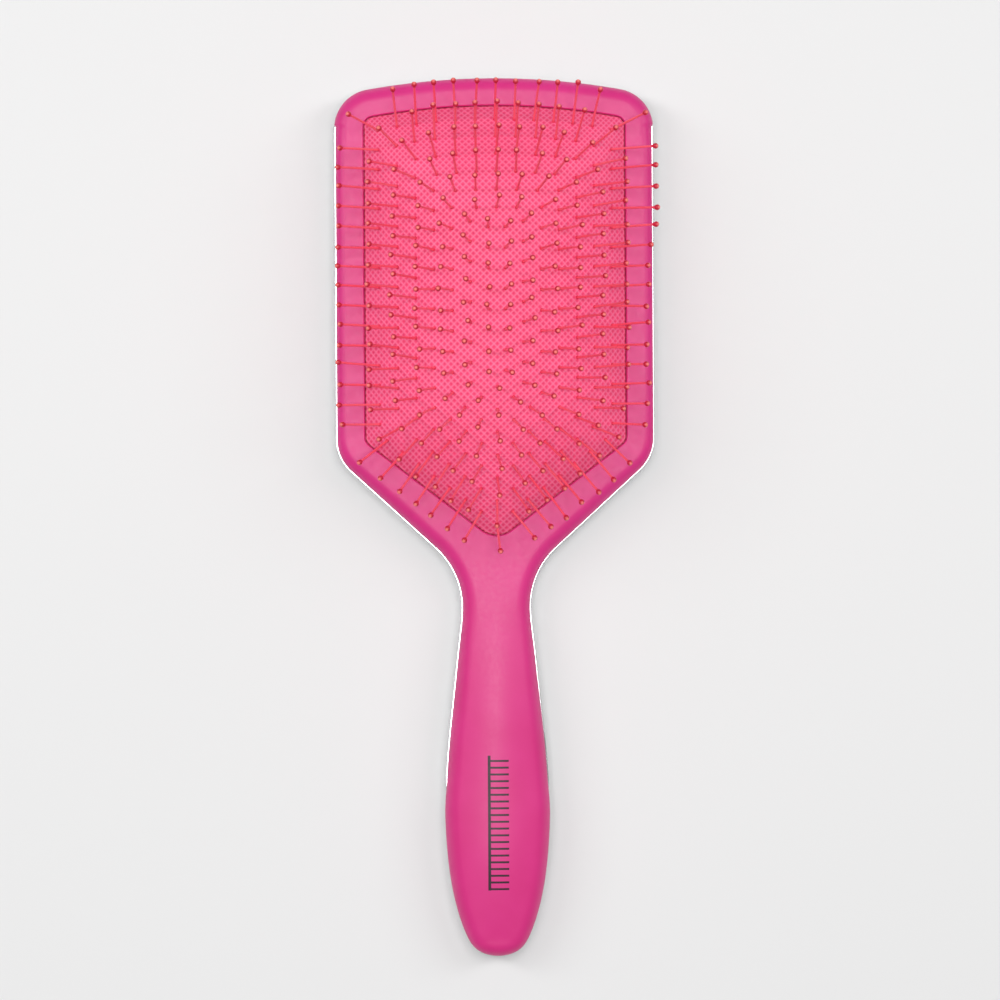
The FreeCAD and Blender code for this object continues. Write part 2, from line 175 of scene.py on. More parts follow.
def clamped_spline(points, start_slope, end_slope, samples):
    """Points on the cubic spline through points, by chord length, with these unit slopes at its ends."""
    points = np.array(points)
    spans = np.linalg.norm(np.diff(points, axis=0), axis=1)
    knots = np.concatenate([[0.0], np.cumsum(spans)])
    count = len(points)
    system = np.eye(count)
    right = np.zeros((count, 2))
    right[0] = start_slope
    right[-1] = end_slope
    chords = np.diff(points, axis=0) / spans[:, None]
    for i in range(1, count - 1):
        system[i, i - 1:i + 2] = (spans[i], 2 * (spans[i - 1] + spans[i]), spans[i - 1])
        right[i] = 3 * (spans[i] * chords[i - 1] + spans[i - 1] * chords[i])
    slopes = np.linalg.solve(system, right)
    at = np.linspace(0, knots[-1], samples)
    k = np.clip(np.searchsorted(knots, at, side="right") - 1, 0, count - 2)
    span = spans[k][:, None]
    s = (at - knots[k])[:, None] / span
    return (
        (2 * s**3 - 3 * s**2 + 1) * points[k]
        + (s**3 - 2 * s**2 + s) * span * slopes[k]
        + (3 * s**2 - 2 * s**3) * points[k + 1]
        + (s**3 - s**2) * span * slopes[k + 1]
    )


def closed_loop(parts, step):
    """A closed loop from its right half's parts, resampled evenly, and its outward normals. It starts at
    its lowest point and runs anticlockwise, so point i and point -i are mirror images."""
    half = np.concatenate(parts)
    gaps = np.linalg.norm(np.diff(half, axis=0), axis=1)
    half = half[np.concatenate([[True], gaps > 1e-9])]
    run = np.concatenate([[0.0], np.cumsum(np.linalg.norm(np.diff(half, axis=0), axis=1))])
    at = np.linspace(0, run[-1], int(run[-1] / step) + 1)
    right = np.stack([np.interp(at, run, half[:, 0]), np.interp(at, run, half[:, 1])], 1)
    right[0, 0] = right[-1, 0] = 0.0
    loop = np.concatenate([right, right[-2:0:-1] * (-1, 1)])
    along = np.roll(loop, -1, 0) - np.roll(loop, 1, 0)
    along /= np.linalg.norm(along, axis=1)[:, None]
    return loop, np.stack([along[:, 1], -along[:, 0]], 1)


def body_outline():
    """The whole brush's outline."""
    stations = [(NECK_HALF_WIDTH, NECK_Y)] + [(w, y) for y, w in HANDLE_STATIONS]
    left = [(-x, y) for x, y in reversed(stations)]
    spline = clamped_spline(stations + [(0, TIP_Y)] + left, (0, -1), (0, 1), 8001)
    handle = spline[4000::-1]
    neck_end = math.pi / 2 + SHOULDER_ANGLE
    neck = arc((NECK_HALF_WIDTH + NECK_RADIUS, NECK_Y), NECK_RADIUS, math.pi, neck_end)
    corner_y = neck[-1][1] + (HEAD_HALF_WIDTH - neck[-1][0]) * math.tan(SHOULDER_ANGLE)
    reach = SHOULDER_CORNER_RADIUS * math.tan((math.pi / 2 - SHOULDER_ANGLE) / 2)
    low_centre = (HEAD_HALF_WIDTH - SHOULDER_CORNER_RADIUS, corner_y + reach)
    low = arc(low_centre, SHOULDER_CORNER_RADIUS, SHOULDER_ANGLE - math.pi / 2, 0)
    high_x = HEAD_HALF_WIDTH - HEAD_CORNER_RADIUS
    high_y = HEAD_TOP_CENTRE_Y + math.sqrt((HEAD_TOP_RADIUS - HEAD_CORNER_RADIUS) ** 2 - high_x**2)
    turn = math.atan2(high_y - HEAD_TOP_CENTRE_Y, high_x)
    high = arc((high_x, high_y), HEAD_CORNER_RADIUS, 0, turn)
    top = arc((0, HEAD_TOP_CENTRE_Y), HEAD_TOP_RADIUS, turn, math.pi / 2)
    return closed_loop([handle, neck, low, high, top], 0.0007)


def opening_outline():
    """The pad opening's outline."""
    centre_y = VEE_POINT_Y + VEE_POINT_RADIUS / math.cos(VEE_ANGLE)
    point = arc((0, centre_y), VEE_POINT_RADIUS, -math.pi / 2, VEE_ANGLE - math.pi / 2)
    small = OPENING_CORNER_RADIUS
    corner_y = VEE_POINT_Y + OPENING_HALF_WIDTH * math.tan(VEE_ANGLE)
    reach = small * math.tan((math.pi / 2 - VEE_ANGLE) / 2)
    low = arc((OPENING_HALF_WIDTH - small, corner_y + reach), small, VEE_ANGLE - math.pi / 2, 0)
    radius = OPENING_TOP_Y - HEAD_TOP_CENTRE_Y
    high_x = OPENING_HALF_WIDTH - small
    high_y = HEAD_TOP_CENTRE_Y + math.sqrt((radius - small) ** 2 - high_x**2)
    turn = math.atan2(high_y - HEAD_TOP_CENTRE_Y, high_x)
    high = arc((high_x, high_y), small, 0, turn)
    top = arc((0, HEAD_TOP_CENTRE_Y), radius, turn, math.pi / 2)
    return closed_loop([point, low, high, top], 0.0004)


def inside(points, loop):
    """Which of the points lie inside the closed loop."""
    result = np.zeros(len(points), bool)
    x, y = points[:, 0], points[:, 1]
    for (ax, ay), (bx, by) in zip(loop, np.roll(loop, -1, 0)):
        if ay != by:
            crosses = (ay > y) != (by > y)
            result ^= crosses & (x < ax + (y - ay) * (bx - ax) / (by - ay))
    return result


def nearest_distance(points, loop):
    """Each point's distance to the closed loop."""
    best = np.full(len(points), np.inf)
    for a, b in zip(loop, np.roll(loop, -1, 0)):
        d = b - a
        t = np.clip(((points - a) @ d) / (d @ d), 0, 1)
        best = np.minimum(best, ((points - a - t[:, None] * d) ** 2).sum(1))
    return np.sqrt(best)


BODY_LOOP, BODY_NORMAL = body_outline()
OPENING_LOOP, OPENING_NORMAL = opening_outline()


def body_loop(inset):
    """The outline moved inwards by inset, one number or one for each point."""
    return BODY_LOOP - np.reshape(inset, (-1, 1)) * BODY_NORMAL


def opening_loop(inset):
    return OPENING_LOOP - inset * OPENING_NORMAL


# ---------------------------------------------------------------- meshes

class Mesh:
    """Points and faces of one piece while it is being made."""

    def __init__(self):
        self.points = []
        self.faces = []
        self.count = 0

    def add(self, points):
        """Adds points and returns their numbers."""
        self.points.append(np.asarray(points, float))
        self.count += len(points)
        return np.arange(self.count - len(points), self.count)

    def level(self, loop, z):
        """Adds a loop of plan points at height z, one number or one for each point."""
        return self.add(np.column_stack([loop, np.broadcast_to(z, len(loop))]))

    def band(self, a, b):
        """Quads between two closed rings of the same number of points."""
        self.faces += np.stack([a, np.roll(a, -1), np.roll(b, -1), b], 1).tolist()

    def ladder(self, ring, flip=False):
        """Fills a symmetric ring from its left to its right side."""
        n = len(ring)
        for i in range(n // 2):
            quad = [ring[i], ring[i + 1], ring[-i - 1], ring[-i]] if i else [ring[0], ring[1], ring[-1]]
            if i == n // 2 - 1:
                quad = [ring[i], ring[i + 1], ring[-i]]
            self.faces.append([int(v) for v in (reversed(quad) if flip else quad)])

    def make(self, name, body, sharp):
        """The finished piece, riding on body, with edges past the angle sharp kept crisp."""
        mesh = bpy.data.meshes.new(name)
        mesh.from_pydata(np.concatenate(self.points).tolist(), [], self.faces)
        mesh.validate()
        mesh.update()
        mesh.shade_smooth()
        mesh.set_sharp_from_angle(angle=math.radians(sharp))
        piece = bpy.data.objects.new(name, mesh)
        bpy.context.scene.collection.objects.link(piece)
        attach(piece, body)
        return piece


def ring_edges(counts):
    """The edges of closed rings whose points are numbered one ring after the other."""
    edges = []
    start = 0
    for count in counts:
        edges += [(start + i, start + (i + 1) % count) for i in range(count)]
        start += count
    return edges


def triangulate(points, edges, keep):
    """Anticlockwise triangles over the plan points that respect the edges. keep takes the triangles'
    middles and says which stay."""
    scale = 1000.0
    vectors = [Vector(p) for p in (points * scale).tolist()]
    tolerance = 1e-7
    _, _, faces, origin, _, _ = delaunay_2d_cdt(vectors, edges, [], 1, tolerance)
    back = np.array([o[0] if o else -1 for o in origin])
    faces = back[np.array(faces)]
    faces = faces[(faces >= 0).all(1)]
    a, b, c = (points[faces[:, i]] for i in range(3))
    turn = (b[:, 0] - a[:, 0]) * (c[:, 1] - a[:, 1]) - (b[:, 1] - a[:, 1]) * (c[:, 0] - a[:, 0])
    faces[turn < 0] = faces[turn < 0][:, ::-1]
    least_area = 1e-14
    return faces[keep((a + b + c) / 3) & (np.abs(turn) > least_area)]


# ---------------------------------------------------------------- the shells

def smooth_step(t):
    """0 below 0, 1 above 1, and a smooth rise between."""
    t = np.clip(t, 0.0, 1.0)
    return t * t * (3 - 2 * t)


def crown_rise(y):
    """How far the handle's middle line stands over the rim's plane."""
    rise = HANDLE_CROWN * smooth_step((CROWN_START_Y - y) / (CROWN_START_Y - CROWN_FULL_Y))
    fall = np.maximum(CROWN_FALL_Y - y, 0.0) / (CROWN_FALL_Y - TIP_Y - FRONT_INSET - FRONT_EDGE_RADIUS)
    return rise * np.maximum(1 - fall**2, 0.0)


def plate_shows():
    """For each point of the outline, how much of the plated edge stands out past the pink shell."""
    y = BODY_LOOP[:, 1]
    below_top = smooth_step((PLATE_TOP_Y - y) / PLATE_TOP_FADE)
    return below_top * smooth_step((y - PLATE_TIP_Y + PLATE_TIP_FADE / 2) / PLATE_TIP_FADE)


PLATE_SHOWS = plate_shows()
FRONT_EDGE = FRONT_INSET * PLATE_SHOWS              # the pink shell's edge, in from the outline
PLATE_EDGE = FRONT_INSET * (1 - PLATE_SHOWS)        # the plated shell's edge, in from the outline


def half_width(y):
    """Half the outline's width at y, in the handle and the shoulders, and the greatest above them."""
    right = BODY_LOOP[: len(BODY_LOOP) // 2]
    lower = right[: np.argmax(right[:, 0]) + 1]
    return np.interp(y, lower[:, 1], lower[:, 0])


def front_top(plan, depth):
    """Height of the front shell's outer face at plan points that lie this deep inside its edge."""
    y = plan[:, 1]
    tight = smooth_step(y / HEAD_SIDE_FULL_Y) * smooth_step((HEAD_SIDE_END_Y - y) / HEAD_SIDE_FADE)
    radius = FRONT_EDGE_RADIUS + (HEAD_SIDE_RADIUS - FRONT_EDGE_RADIUS) * tight
    over = np.clip(radius - depth, 0, radius)
    edge = radius - np.sqrt(radius**2 - over**2)
    across = np.clip(depth / (half_width(y) - FRONT_INSET), 0, 1)
    return RIM_Z - edge + crown_rise(y) * (1 - (1 - across) ** CROWN_POWER)


def front_shell():
    """The pink shell: a rounded outer edge, a top with the pad opening, and the underside."""
    mesh = Mesh()
    angles = np.radians(np.linspace(0, 90, 13))
    depths = FRONT_EDGE_RADIUS * (1 - np.cos(angles))
    base = mesh.level(body_loop(FRONT_EDGE), PARTING_Z - SEAM_DEPTH)
    previous = base
    for depth in depths:
        plan = body_loop(FRONT_EDGE + depth)
        ring = mesh.level(plan, front_top(plan, np.full(len(plan), depth)))
        mesh.band(previous, ring)
        previous = ring
    top_outer = previous

    rim_angles = np.radians(np.linspace(90, 0, 6))
    rim_steps = RIM_EDGE_RADIUS * np.sin(rim_angles)
    rim_plan = opening_loop(-rim_steps[0])
    top_inner = mesh.level(rim_plan, RIM_Z)
    previous = top_inner
    for outward, angle in zip(rim_steps[1:], rim_angles[1:]):
        ring = mesh.level(opening_loop(-outward), RIM_Z - RIM_EDGE_RADIUS * (1 - math.sin(angle)))
        mesh.band(previous, ring)
        previous = ring
    wall_bottom = mesh.level(opening_loop(0), RIM_Z - FRONT_SKIN)
    mesh.band(previous, wall_bottom)
    under_inner = mesh.level(rim_plan, RIM_Z - FRONT_SKIN)
    mesh.band(wall_bottom, under_inner)

    # the top between the rounded edges, meshed on a staggered grid of points
    outer_plan = body_loop(FRONT_EDGE + FRONT_EDGE_RADIUS)
    step = 0.0011
    xs = np.arange(-HEAD_HALF_WIDTH, HEAD_HALF_WIDTH, step)
    ys = np.arange(TIP_Y, HEAD_TOP_Y, step)
    grid = np.stack(np.meshgrid(xs, ys), -1).reshape(-1, 2)
    grid[:, 0] += np.tile([0.0, step / 2], len(ys))[: len(ys)].repeat(len(xs))
    margin = 0.0006
    grid = grid[inside(grid, body_loop(FRONT_EDGE + FRONT_EDGE_RADIUS + margin))]
    grid = grid[~inside(grid, opening_loop(-RIM_EDGE_RADIUS - margin))]
    plan = np.concatenate([outer_plan, rim_plan, grid])
    edges = ring_edges([len(outer_plan), len(rim_plan)])
    faces = triangulate(plan, edges, lambda middles: ~inside(middles, rim_plan))
    depth = nearest_distance(grid, body_loop(FRONT_EDGE))
    top = mesh.level(grid, front_top(grid, depth))
    under = mesh.level(grid, front_top(grid, depth) - FRONT_SKIN)
    outer_heights = front_top(outer_plan, np.full(len(outer_plan), FRONT_EDGE_RADIUS))
    under_outer = mesh.level(outer_plan, outer_heights - FRONT_SKIN)
    upper = np.concatenate([top_outer, top_inner, top])
    lower = np.concatenate([under_outer, under_inner, under])
    mesh.faces += upper[faces].tolist()
    mesh.faces += lower[faces[:, ::-1]].tolist()

    inner = body_loop(FRONT_INSET + FRONT_WALL)
    previous = under_outer
    for z in (RIM_Z - FRONT_SKIN - FRONT_LIP_HEIGHT, PARTING_Z - SEAM_DEPTH):
        ring = mesh.level(inner, z)
        mesh.band(previous, ring)
        previous = ring
    mesh.band(previous, base)
    piece = mesh.make("front_shell_shown", "housing", 30.0)
    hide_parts("front_shell")
    return piece


def back_shell():
    """The plated shell: its ledge at the seam, its outside down to the flat back, and its inside."""
    mesh = Mesh()
    seam = mesh.level(body_loop(FRONT_INSET + SEAM_LIP), PARTING_Z - SEAM_DEPTH)
    previous = seam
    angles = np.radians(np.linspace(0, 90, 7))
    profile = [(FRONT_INSET - SEAM_LIP / 2, PARTING_Z - SEAM_LIP), (FRONT_INSET - SEAM_LIP, PARTING_Z)]
    profile += [
        (LEDGE_RADIUS * (1 - math.sin(a)), PARTING_Z - LEDGE_RADIUS * (1 - math.cos(a))) for a in angles
    ]
    profile += [(0.0, BACK_EDGE_RADIUS)]
    turns = np.radians(np.linspace(0, 90, 17))[1:]
    profile += [
        (BACK_EDGE_RADIUS * (1 - math.cos(a)), BACK_EDGE_RADIUS * (1 - math.sin(a))) for a in turns
    ]
    for inset, z in profile:
        # where the plated edge doesn't show, it is drawn in under the pink shell
        ring = mesh.level(body_loop(PLATE_EDGE * (1 - inset / BACK_EDGE_RADIUS) + inset), z)
        mesh.band(ring, previous)
        previous = ring
    mesh.ladder(previous, flip=True)
    previous = seam
    radius = BACK_EDGE_RADIUS - BACK_WALL
    inner = [(BACK_WALL, PARTING_Z - SEAM_DEPTH), (BACK_WALL, BACK_EDGE_RADIUS)]
    inner += [
        (BACK_WALL + radius * (1 - math.cos(a)), BACK_WALL + radius * (1 - math.sin(a)))
        for a in turns[1::2]
    ]
    for inset, z in inner:
        ring = mesh.level(body_loop(inset), z)
        mesh.band(previous, ring)
        previous = ring
    mesh.ladder(previous)
    piece = mesh.make("back_shell_shown", "housing", 30.0)
    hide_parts("back_shell")
    return piece


# ---------------------------------------------------------------- the pad

def blended_depth(plan):
    """A smooth version of the distance from plan points to the opening's nearest side."""
    x, y = plan[:, 0], plan[:, 1]
    up, across = math.cos(VEE_ANGLE), math.sin(VEE_ANGLE)
    sides = np.stack([
        OPENING_HALF_WIDTH + x,
        OPENING_HALF_WIDTH - x,
        OPENING_TOP_Y - HEAD_TOP_CENTRE_Y - np.hypot(x, y - HEAD_TOP_CENTRE_Y),
        (y - VEE_POINT_Y) * up - x * across,
        (y - VEE_POINT_Y) * up + x * across,
    ])
    return smallest(sides)


def smallest(sides):
    """The smallest distance in each column, smoothed where two are nearly the same."""
    tiny = 1e-5
    low = sides.min(0)
    safe = np.maximum(sides, tiny)
    return np.where(low <= tiny, low, (safe**-DOME_POWER).sum(0) ** (-1 / DOME_POWER))


# Across the pad's middle: distances from the middle line, and the blended depth at each
STRIP_OFFSETS = np.linspace(0, OPENING_HALF_WIDTH * 1.3, 6001)
STRIP_DEPTHS = smallest(np.stack([OPENING_HALF_WIDTH + STRIP_OFFSETS, OPENING_HALF_WIDTH - STRIP_OFFSETS]))


def dome_height(plan):
    """Height of the pad's outer face. Across the middle of the pad it is a circular arc."""
    offset = np.interp(blended_depth(plan), STRIP_DEPTHS[::-1], STRIP_OFFSETS[::-1])
    rise = np.sqrt(PAD_RADIUS**2 - offset**2) - math.sqrt(PAD_RADIUS**2 - OPENING_HALF_WIDTH**2)
    return PAD_EDGE_Z + rise


def dome_normal(plan):
    """The pad's outward direction at plan points."""
    step = 0.00005
    dx = (dome_height(plan + (step, 0)) - dome_height(plan - (step, 0))) / (2 * step)
    dy = (dome_height(plan + (0, step)) - dome_height(plan - (0, step))) / (2 * step)
    normal = np.stack([-dx, -dy, np.ones(len(plan))], 1)
    return normal / np.linalg.norm(normal, axis=1)[:, None]


def arc_lengths():
    """The middle line's distance run over the dome, as (y, run) pairs to interpolate in."""
    ys = np.linspace(VEE_POINT_Y, OPENING_TOP_Y, 2001)
    z = dome_height(np.stack([np.zeros(len(ys)), ys], 1))
    run = np.concatenate([[0.0], np.cumsum(np.hypot(np.diff(ys), np.diff(z)))])
    return ys, run


LINE_YS, LINE_RUNS = arc_lengths()


def weave_of(plan):
    """Where plan points fall in the pad's diagonal texture, in whole pitches."""
    u = PAD_RADIUS * np.arcsin(plan[:, 0] / PAD_RADIUS)
    v = np.interp(plan[:, 1], LINE_YS, LINE_RUNS)
    return np.stack([u + v, v - u], 1) / (math.sqrt(2) * WEAVE_PITCH)


def plan_of(weave):
    """The plan points at these places in the texture."""
    u = (weave[:, 0] - weave[:, 1]) * WEAVE_PITCH / math.sqrt(2)
    v = (weave[:, 0] + weave[:, 1]) * WEAVE_PITCH / math.sqrt(2)
    return np.stack([PAD_RADIUS * np.sin(u / PAD_RADIUS), np.interp(v, LINE_RUNS, LINE_YS)], 1)


def relief(weave):
    """Height of the texture over the plain dome."""
    wave = np.cos(2 * math.pi * weave)
    dimple = ((wave + 1) / 2).prod(1) ** 1.3
    ridge = (((1 - wave) / 2) ** 4).max(1)
    return RIDGE_HEIGHT * ridge - DIMPLE_DEPTH * dimple


def cushion_pad():
    """The rubber pad: a textured dome of square cells, a plain border out to its edge, the flange below
    the rim, and the underside."""
    edge_inset = PAD_GAP + PAD_EDGE_ROUND
    border = 0.00025
    edge_plan = opening_loop(edge_inset)
    bounds = weave_of(edge_plan)
    low = np.floor(bounds.min(0)).astype(int) * WEAVE_STEPS
    high = np.ceil(bounds.max(0)).astype(int) * WEAVE_STEPS
    ps, qs = np.arange(low[0], high[0] + 1), np.arange(low[1], high[1] + 1)
    weave = np.stack(np.meshgrid(ps, qs, indexing="ij"), -1).reshape(-1, 2) / WEAVE_STEPS
    u = (weave[:, 0] - weave[:, 1]) * WEAVE_PITCH / math.sqrt(2)
    reachable = np.abs(u) < PAD_RADIUS
    plan = np.zeros((len(weave), 2))
    plan[reachable] = plan_of(weave[reachable])
    good = reachable.copy()
    good[reachable] = inside(plan[reachable], opening_loop(edge_inset + border))
    grid = good.reshape(len(ps), len(qs))
    cells = grid[:-1, :-1] & grid[1:, :-1] & grid[1:, 1:] & grid[:-1, 1:]
    numbers = np.arange(len(weave)).reshape(len(ps), len(qs))
    quads = np.stack([numbers[:-1, :-1], numbers[1:, :-1], numbers[1:, 1:], numbers[:-1, 1:]], -1)[cells]

    # the cells' outer sides, each used by one cell only, bound the border
    sides = np.concatenate([quads[:, [0, 1]], quads[:, [1, 2]], quads[:, [2, 3]], quads[:, [3, 0]]])
    keys = np.sort(sides, 1)
    keys = keys[:, 0] * len(weave) + keys[:, 1]
    _, index, uses = np.unique(keys, return_index=True, return_counts=True)
    rim_edges = sides[index[uses == 1]]
    rim_points = np.unique(rim_edges)
    place = {int(v): i for i, v in enumerate(rim_points)}
    n = len(edge_plan)
    edges = ring_edges([n]) + [(n + place[int(a)], n + place[int(b)]) for a, b in rim_edges]

    def outside_grid(middles):
        cell = np.floor(weave_of(middles) * WEAVE_STEPS).astype(int) - low
        cell = np.clip(cell, 0, np.array(cells.shape) - 1)
        return ~cells[cell[:, 0], cell[:, 1]]

    faces = triangulate(np.concatenate([edge_plan, plan[rim_points]]), edges, outside_grid)

    mesh = Mesh()
    used = np.unique(quads)
    lookup = np.full(len(weave), -1)
    fade = smooth_step(nearest_distance(plan[used], edge_plan) / WEAVE_FADE)
    heights = dome_height(plan[used]) + relief(weave[used]) * fade
    lookup[used] = mesh.level(plan[used], heights)
    edge = mesh.level(edge_plan, dome_height(edge_plan))
    mesh.faces += lookup[quads].tolist()
    table = np.concatenate([edge, lookup[rim_points]])
    mesh.faces += table[faces].tolist()

    previous = edge
    for angle in np.radians((30, 60, 90)):
        inset = edge_inset - PAD_EDGE_ROUND * math.sin(angle)
        drop = PAD_EDGE_ROUND * (1 - math.cos(angle))
        ring = mesh.level(opening_loop(inset), dome_height(edge_plan) - drop)
        mesh.band(ring, previous)
        previous = ring
    inner_inset = PAD_GAP + PAD_THICKNESS
    inner_plan = opening_loop(inner_inset)
    profile = [
        (PAD_GAP, FLANGE_TOP_Z),
        (-FLANGE_WIDTH, FLANGE_TOP_Z),
        (-FLANGE_WIDTH, FLANGE_BOTTOM_Z),
        (inner_inset, FLANGE_BOTTOM_Z),
    ]
    for inset, z in profile:
        ring = mesh.level(opening_loop(inset), z)
        mesh.band(ring, previous)
        previous = ring
    under_edge = mesh.level(inner_plan, dome_height(inner_plan) - PAD_THICKNESS)
    mesh.band(under_edge, previous)
    step = 0.003
    margin = 0.001
    xs = np.arange(-OPENING_HALF_WIDTH, OPENING_HALF_WIDTH, step)
    ys = np.arange(VEE_POINT_Y, OPENING_TOP_Y, step)
    inner = np.stack(np.meshgrid(xs, ys), -1).reshape(-1, 2)
    inner = inner[inside(inner, opening_loop(inner_inset + margin))]

    def everywhere(middles):
        return np.ones(len(middles), bool)

    faces = triangulate(np.concatenate([inner_plan, inner]), ring_edges([len(inner_plan)]), everywhere)
    under = mesh.level(inner, dome_height(inner) - PAD_THICKNESS)
    mesh.faces += np.concatenate([under_edge, under])[faces[:, ::-1]].tolist()

    piece = mesh.make("cushion_pad_shown", "housing", 50.0)
    points = np.concatenate(mesh.points)
    places = weave_of(np.clip(points[:, :2], (-PAD_RADIUS, -1), (PAD_RADIUS, 1)))
    attribute = piece.data.attributes.new("weave", "FLOAT_VECTOR", "POINT")
    attribute.data.foreach_set("vector", np.column_stack([places, np.zeros(len(places))]).ravel())
    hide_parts("cushion_pad")
    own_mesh(piece)
    return piece


# ---------------------------------------------------------------- the pins

def ring_roots(inset, count):
    """One ring's pins, evenly spaced from its lower point, as (side, x, y)."""
    half = OPENING_HALF_WIDTH - inset
    point = np.array((0.0, VEE_POINT_Y + inset / math.cos(VEE_ANGLE)))
    low = np.array((half, point[1] + half * math.tan(VEE_ANGLE)))
    top_radius = OPENING_TOP_Y - HEAD_TOP_CENTRE_Y - inset
    turn = math.acos(half / top_radius)
    vee_length = np.linalg.norm(low - point)
    side_length = HEAD_TOP_CENTRE_Y + top_radius * math.sin(turn) - low[1]
    total = 2 * vee_length + 2 * side_length + top_radius * (math.pi - 2 * turn)
    roots = []
    for i in range(count // 2 + 1):
        run = total * i / count
        if run <= vee_length:
            side = "vee"
            x, y = point + (low - point) * (run / vee_length)
        elif run <= vee_length + side_length:
            side = "right"
            x, y = half, low[1] + run - vee_length
        else:
            side = "top"
            angle = turn + (run - vee_length - side_length) / top_radius
            x = top_radius * math.cos(angle)
            y = HEAD_TOP_CENTRE_Y + top_radius * math.sin(angle)
        on_axis = i == 0 or 2 * i == count
        roots.append((side, 0.0 if on_axis else x, y))
        if not on_axis:
            roots.append(("left" if side == "right" else side, -x, y))
    return roots


def pin_profile():
    """Radius and height of each ring of a pin's mesh, from its head under the pad to its ball tip."""
    head_top = -PAD_THICKNESS - PIN_HEAD_GAP
    ball_z = PIN_LENGTH - BALL_RADIUS
    cone_radius = BALL_RADIUS * math.cos(BALL_CONE_ANGLE)
    cone_z = ball_z - BALL_RADIUS * math.sin(BALL_CONE_ANGLE)
    cone_drop = 1.25 * (cone_radius - SHAFT_TOP_RADIUS) / math.tan(BALL_CONE_ANGLE)
    rings = [
        (PIN_HEAD_RADIUS, head_top - PIN_HEAD_THICKNESS),
        (PIN_HEAD_RADIUS, head_top),
        (SHAFT_RADIUS, head_top),
        (SHAFT_RADIUS, 0.0),
        (COLLAR_RADIUS, PIN_GAP),
        (COLLAR_RADIUS * 0.94, PIN_GAP + COLLAR_LENGTH * 0.25),
        (SHAFT_RADIUS * 1.12, PIN_GAP + COLLAR_LENGTH * 0.65),
        (SHAFT_RADIUS, PIN_GAP + COLLAR_LENGTH),
        ((SHAFT_RADIUS + SHAFT_TOP_RADIUS) / 2, PIN_LENGTH / 2),
    ]
    for t in np.linspace(0, 1, 5):
        radius = SHAFT_TOP_RADIUS + (cone_radius - SHAFT_TOP_RADIUS) * t**1.5
        rings.append((radius, cone_z - cone_drop * (1 - t)))
    for angle in np.linspace(-BALL_CONE_ANGLE, math.pi / 2, 9)[1:-1]:
        rings.append((BALL_RADIUS * math.cos(angle), ball_z + BALL_RADIUS * math.sin(angle)))
    return np.array(rings)


def bent_in_use(plan):
    """How far the pins at these places slope to the right, past square to the pad."""
    x, y = plan[:, 0], plan[:, 1]
    edge = smooth_step((np.abs(x) - EDGE_PIN_X) / EDGE_PIN_BLEND)
    upper = smooth_step((y - LOWER_RIGHT_Y) / LOWER_RIGHT_BLEND + 0.5)
    right = LOWER_RIGHT_BEND + (RIGHT_BEND - LOWER_RIGHT_BEND) * upper
    return edge * np.where(x > 0, right, -LEFT_BEND)


def pins(name, node, body, places, random):
    """All the pins of one node, each square to the pad but for a small error of angle and wear."""
    mesh = Mesh()
    profile = pin_profile()
    plan = np.array(places)
    roots = np.column_stack([plan, dome_height(plan)])
    along = dome_normal(plan)
    along += np.tan(random.normal(0, PIN_LEAN, (len(plan), 3)))
    along[:, 0] += bent_in_use(plan)
    along /= np.linalg.norm(along, axis=1)[:, None]
    bend = random.normal(0, PIN_BEND, (len(plan), 2))
    tones = random.uniform(0, 1, len(plan))
    angles = np.arange(PIN_SEGMENTS) * 2 * math.pi / PIN_SEGMENTS
    heights = []
    shades = []
    for root, axis, curve, tone in zip(roots, along, bend, tones):
        across = np.cross(axis, (0.0, 1.0, 0.0))
        across /= np.linalg.norm(across)
        beside = np.cross(axis, across)
        bottom = mesh.add([root + axis * profile[0, 1]])
        heights.append(profile[0, 1])
        previous = None
        for radius, height in profile:
            lean = (max(height, 0) / PIN_LENGTH) ** 2
            centre = root + axis * height + (across * curve[0] + beside * curve[1]) * lean
            circle = np.outer(np.cos(angles), across) + np.outer(np.sin(angles), beside)
            ring = mesh.add(centre + radius * circle)
            heights += [height] * PIN_SEGMENTS
            if previous is None:
                mesh.faces += [[int(bottom[0]), int(b), int(a)] for a, b in zip(ring, np.roll(ring, -1))]
            else:
                mesh.band(previous, ring)
            previous = ring
        tip = mesh.add([root + axis * PIN_LENGTH + across * curve[0] + beside * curve[1]])
        heights.append(PIN_LENGTH)
        mesh.faces += [[int(a), int(b), int(tip[0])] for a, b in zip(previous, np.roll(previous, -1))]
        shades += [tone] * (2 + len(profile) * PIN_SEGMENTS)
    piece = mesh.make(name, body, 60.0)
    for label, values in (("height", np.array(heights) / PIN_LENGTH), ("tone", np.array(shades))):
        attribute = piece.data.attributes.new(label, "FLOAT", "POINT")
        attribute.data.foreach_set("value", values)
    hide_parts(node)
    return piece


def all_pins():
    """Every ring's pins, one piece for each of the CAD model's pin nodes."""
    random = np.random.default_rng(PIN_SEED)
    made = []
    for number, count in enumerate(RING_COUNTS, start=1):
        ring = ring_roots(RING_INSET + RING_PITCH * (number - 1), count)
        for side in ("left", "right", "top", "vee"):
            places = [(x, y) for s, x, y in ring if s == side]
            if places:
                node = f"pins_ring{number}_{side}"
                made.append(pins(node + "_shown", node, f"pin_ring{number}", places, random))
    return made


# ---------------------------------------------------------------- materials

